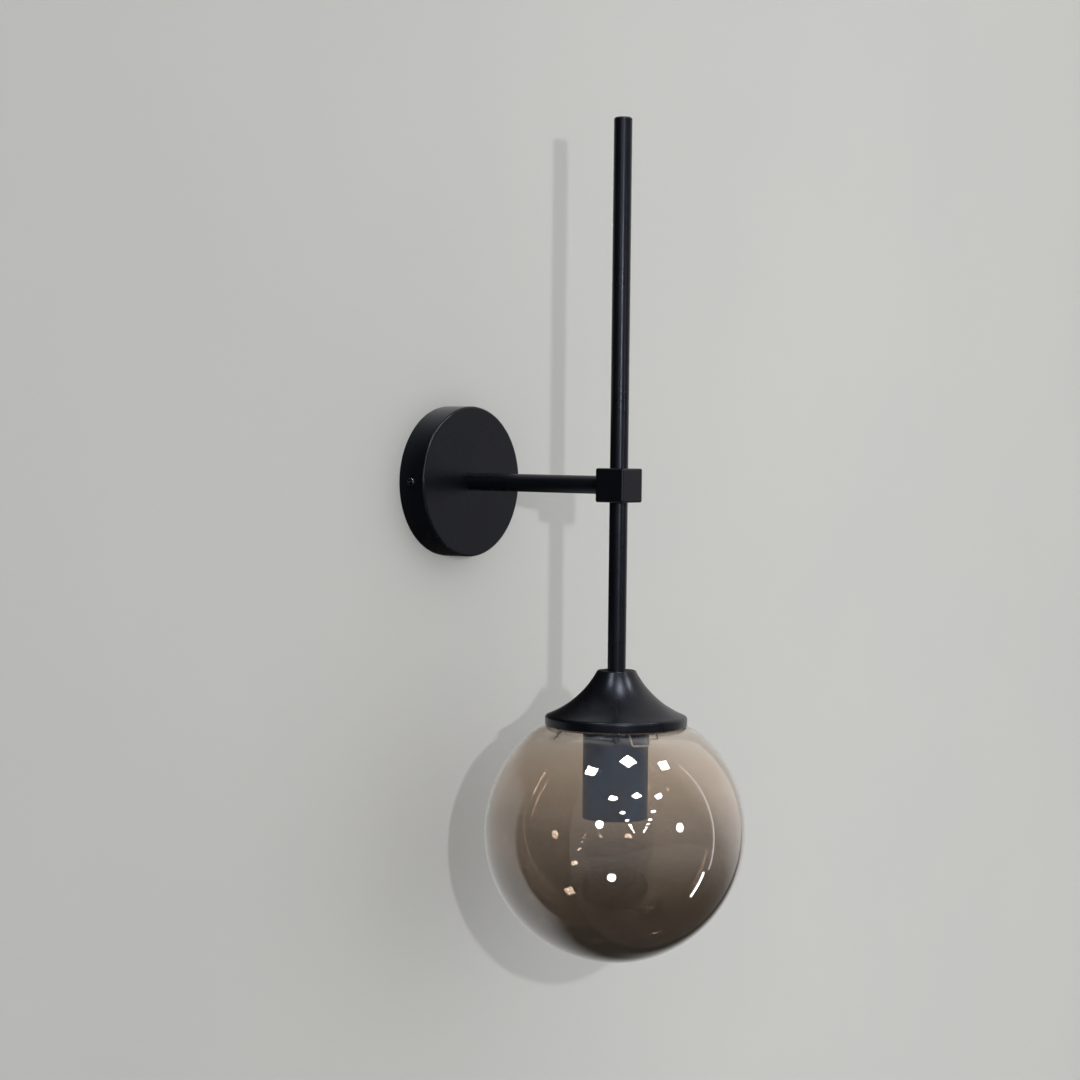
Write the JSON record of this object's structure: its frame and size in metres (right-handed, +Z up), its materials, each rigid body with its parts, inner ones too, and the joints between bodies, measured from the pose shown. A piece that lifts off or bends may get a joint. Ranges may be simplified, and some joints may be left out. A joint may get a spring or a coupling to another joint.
{
  "type": "globe wall sconce",
  "caption": "Wall sconce with a round canopy, a straight arm, a cube joint, upper and lower rods and a bell cap that holds a smoked glass globe over a lampholder.",
  "frame": {"origin": "centre of the canopy on the wall, which is the middle of the two wall-screw slots, on the bracket's back face", "axes": "+Z up, +Y into the wall, -Y out of the wall along the arm, +X to the right of someone who faces the wall"},
  "size_m": [0.2, 0.27, 0.645],
  "materials": {
    "black_paint": "satin",
    "sleeve_paint": "satin",
    "zinc_steel": "satin",
    "blackened_steel": "satin",
    "tinned_copper": "satin",
    "brass": "satin",
    "spring_steel": "polished",
    "smoked_glass": "polished",
    "silicone": "matte",
    "bakelite": "satin",
    "porcelain": "gloss",
    "polyamide": "matte",
    "brown_insulation": "satin",
    "blue_insulation": "satin",
    "earth_insulation": "satin"
  },
  "bodies": {
    "fixture": {"arm_cube_nipple": "zinc_steel", "arm_lock_nut": "zinc_steel", "arm_nipple": "zinc_steel", "arm_tube": "black_paint", "arm_washer": "zinc_steel", "bell_cap": "black_paint", "block_screw": "zinc_steel", "canopy": "black_paint", "canopy_side_screws": "blackened_steel", "cap_lock_nut": "zinc_steel", "carrier_lock_nut": "zinc_steel", "clamp_screws": "brass", "clip_carrier": "zinc_steel", "contact_spring": "spring_steel", "cube_connector": "black_paint", "earth_lead": "earth_insulation", "earth_screw": "zinc_steel", "earth_tag": "tinned_copper", "holder_nipple": "zinc_steel", "holder_terminal_screws": "brass", "lampholder_barrel": "bakelite", "lampholder_core": "porcelain", "lampholder_dome": "bakelite", "lampholder_sleeve": "sleeve_paint", "live_lead": "brown_insulation", "live_terminal": "brass", "lower_cube_nipple": "zinc_steel", "lower_rod": "black_paint", "neutral_lead": "blue_insulation", "neutral_terminal": "brass", "nipple_bush": "polyamide", "rod_end_plug": "black_paint", "screw_shell": "brass", "terminal_barrels": "brass", "terminal_block": "polyamide", "upper_rod": "black_paint", "upper_rod_stud": "zinc_steel", "wall_bracket": "zinc_steel"},
    "globe": {"glass_globe": "smoked_glass", "glass_gasket": "silicone"},
    "contact": {"centre_contact": "brass"},
    "clip_front": {"glass_clip_front": "spring_steel"},
    "clip_right": {"glass_clip_right": "spring_steel"},
    "clip_rear": {"glass_clip_rear": "spring_steel"}
  },
  "joints": [
    {"name": "globe_pull", "type": "slide", "parent": "fixture", "child": "globe", "axis": [0, 0, -1], "range_m": [0, 0.008], "stiffness_N_per_m": 1000, "springref_m": -0.011},
    {"name": "clip_front_fold", "type": "hinge", "parent": "fixture", "child": "clip_front", "pos_m": [-0.01825, -0.20161, -0.1842], "axis": [0.866, -0.5, 0], "range_deg": [0, 36]},
    {"name": "clip_right_fold", "type": "hinge", "parent": "fixture", "child": "clip_right", "pos_m": [0.0365, -0.17, -0.1842], "axis": [0, 1, 0], "range_deg": [0, 36]},
    {"name": "clip_rear_fold", "type": "hinge", "parent": "fixture", "child": "clip_rear", "pos_m": [-0.01825, -0.13839, -0.1842], "axis": [-0.866, -0.5, 0], "range_deg": [0, 36]},
    {"name": "centre_contact_press", "type": "slide", "parent": "fixture", "child": "contact", "axis": [0, 0, 1], "range_m": [0, 0.0015], "stiffness_N_per_m": 1500, "springref_m": -0.001, "deforming": ["contact_spring"]}
  ],
  "couplings": [
    {"joint": "clip_front_fold", "follows": "globe_pull", "rad_per_m": 78.5},
    {"joint": "clip_right_fold", "follows": "globe_pull", "rad_per_m": 78.5},
    {"joint": "clip_rear_fold", "follows": "globe_pull", "rad_per_m": 78.5}
  ]
}
